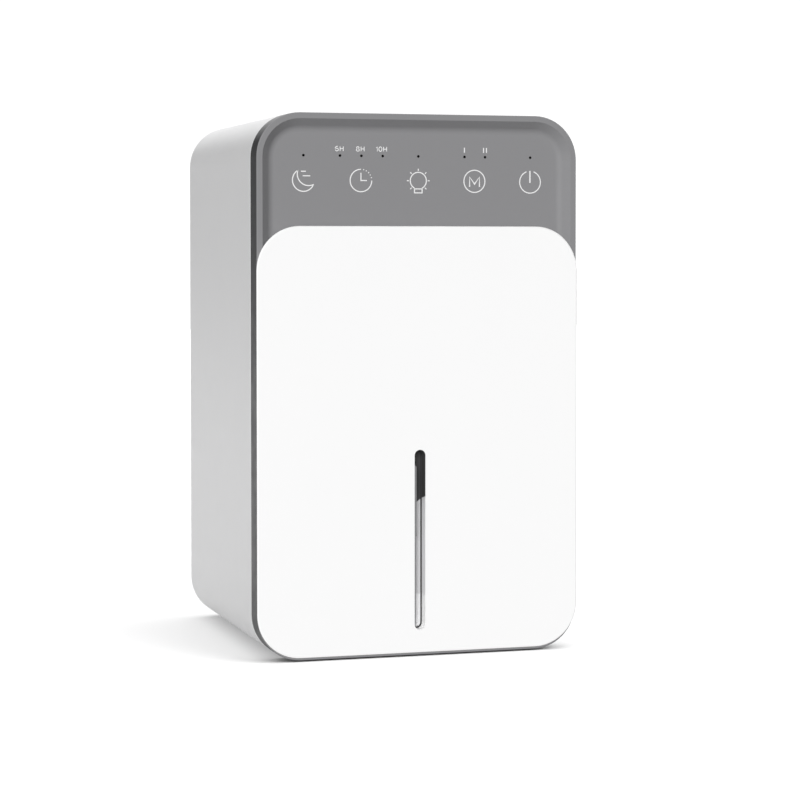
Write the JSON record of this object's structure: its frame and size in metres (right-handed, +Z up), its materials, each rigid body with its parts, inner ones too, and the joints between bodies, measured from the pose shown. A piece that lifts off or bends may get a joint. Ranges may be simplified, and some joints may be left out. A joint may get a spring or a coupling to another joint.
{
  "type": "dehumidifier",
  "caption": "Rounded upright box dehumidifier with a pull-out water tank behind a tall front panel, touch keys above it and a thermoelectric cooling stack with a fan inside.",
  "frame": {"origin": "centre of the footprint, on the surface that the feet stand on", "axes": "+Z up, the front panel faces -Y, +X to the right as seen from the front"},
  "size_m": [0.135, 0.1324, 0.2191],
  "materials": {
    "shell_white": "satin moulded plastic",
    "panel_white": "smooth satin plastic",
    "bezel_grey": "satin grey plastic",
    "zinc_steel": "zinc plated",
    "foot_rubber": "matt",
    "inner_plastic": "moulded",
    "heatsink_aluminium": "extruded",
    "module_ceramic": "fired",
    "gasket_foam": "closed cell foam",
    "fan_black": "glass filled",
    "bearing_bronze": "sintered",
    "winding_copper": "enamelled wire",
    "circuit_board": "solder mask",
    "component_black": "moulded",
    "lamp_lens": "diffusing",
    "contact_brass": "plated",
    "cable_grey": "flat cable",
    "cable_black": "insulation",
    "cable_red": "insulation",
    "tank_clear": "clear moulded plastic",
    "pane_clear": "frosted clear plastic",
    "silicone": "translucent",
    "float_foam": "closed cell foam",
    "magnet_ferrite": "sintered"
  },
  "bodies": {
    "housing": {"outer_shell": "shell_white", "front_bezel": "bezel_grey", "rear_cover": "shell_white", "rear_cover_screws": "zinc_steel", "rubber_feet": "foot_rubber", "chassis": "inner_plastic", "tank_bay": "inner_plastic", "chassis_screws": "zinc_steel", "cold_heatsink": "heatsink_aluminium", "thermoelectric_module": "module_ceramic", "insulation_gasket": "gasket_foam", "hot_heatsink": "heatsink_aluminium", "heatsink_screws": "zinc_steel", "air_duct": "inner_plastic", "drip_tray": "inner_plastic", "fan_frame": "fan_black", "fan_bearing": "bearing_bronze", "fan_stator": "winding_copper", "fan_screws": "zinc_steel", "control_board": "circuit_board", "indicator_lamps": "lamp_lens", "touch_springs": "zinc_steel", "control_board_screws": "zinc_steel", "main_board": "circuit_board", "board_components": "component_black", "main_board_screws": "zinc_steel", "power_jack": "component_black", "jack_pin": "contact_brass", "night_light": "circuit_board", "reed_switch": "circuit_board", "ribbon_cable": "cable_grey", "fan_lead": "cable_black", "module_leads": "cable_red"},
    "fan": {"fan_rotor": "fan_black", "fan_shaft": "zinc_steel"},
    "tank": {"tank_body": "tank_clear", "front_panel": "panel_white", "window_pane": "pane_clear", "tank_lid": "inner_plastic", "lid_seal": "silicone", "pour_plug": "silicone", "float_pin": "zinc_steel"},
    "float": {"float_arm": "inner_plastic", "float_body": "float_foam", "float_magnet": "magnet_ferrite"}
  },
  "joints": [
    {"name": "fan_spin", "type": "hinge", "parent": "housing", "child": "fan", "pos_m": [0, 0.05, 0.159], "axis": [0, 1, 0], "continuous": true},
    {"name": "tank_slide", "type": "slide", "parent": "housing", "child": "tank", "axis": [0, -1, 0], "range_m": [0, 0.105]},
    {"name": "float_tilt", "type": "hinge", "parent": "tank", "child": "float", "pos_m": [-0.044, 0.034, 0.084], "axis": [-1, 0, 0], "range_deg": [0, 18]}
  ]
}
